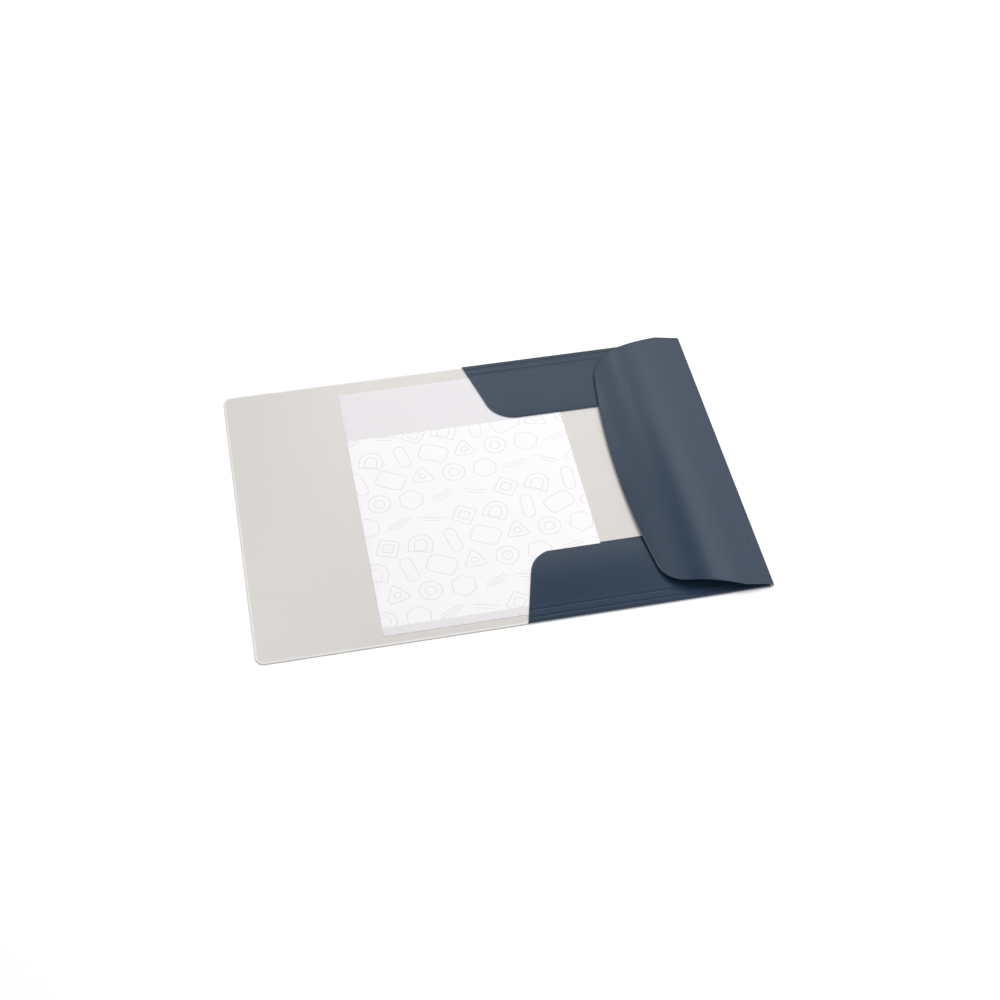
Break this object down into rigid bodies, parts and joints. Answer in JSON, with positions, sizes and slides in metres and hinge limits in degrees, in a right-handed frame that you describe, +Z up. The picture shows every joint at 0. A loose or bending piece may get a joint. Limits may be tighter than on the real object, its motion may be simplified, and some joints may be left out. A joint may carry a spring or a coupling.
{
  "type": "elastic folder",
  "caption": "Flat three-flap document folder of creased plastic sheet, lying open, with an insert sheet, two end flaps, a bulging side flap and an elastic band.",
  "frame": {"origin": "middle of the open folder's footprint, on the surface that it lies on", "axes": "+X across the open folder from the front cover to the side flap, +Y up the pages to the far edge, +Z up from the surface"},
  "size_m": [0.463, 0.323, 0.0139],
  "materials": {
    "sheet_pale": "satin, pale warm grey inner face of the sheet",
    "sheet_slate": "satin, slate blue outer face of the sheet",
    "printed_paper": "smooth, with a pale grey print",
    "woven_elastic": "flat woven elastic",
    "clip_steel": "plain"
  },
  "bodies": {
    "back_cover": {"back_cover": "sheet_slate", "insert_sheet": "printed_paper", "elastic_band": "woven_elastic", "band_clip_near": "clip_steel", "band_clip_far": "clip_steel"},
    "spine": {"spine": "sheet_pale"},
    "front_cover": {"front_cover": "sheet_pale"},
    "side_flap": {"side_flap": "sheet_slate"}
  },
  "joints": [
    {"name": "spine_fold", "type": "hinge", "parent": "back_cover", "child": "spine", "pos_m": [0.006, 0, 0.0013], "axis": [0, 1, 0], "range_deg": [0, 90], "deforming": ["insert_sheet"]},
    {"name": "cover_fold", "type": "hinge", "parent": "spine", "child": "front_cover", "pos_m": [-0.007, 0, 0.0013], "axis": [0, 1, 0], "range_deg": [0, 90], "deforming": ["insert_sheet"]},
    {"name": "side_flap_fold", "type": "hinge", "parent": "back_cover", "child": "side_flap", "pos_m": [0.23076, 0, 0.0043], "axis": [0, 1, 0], "range_deg": [0, 165]}
  ]
}
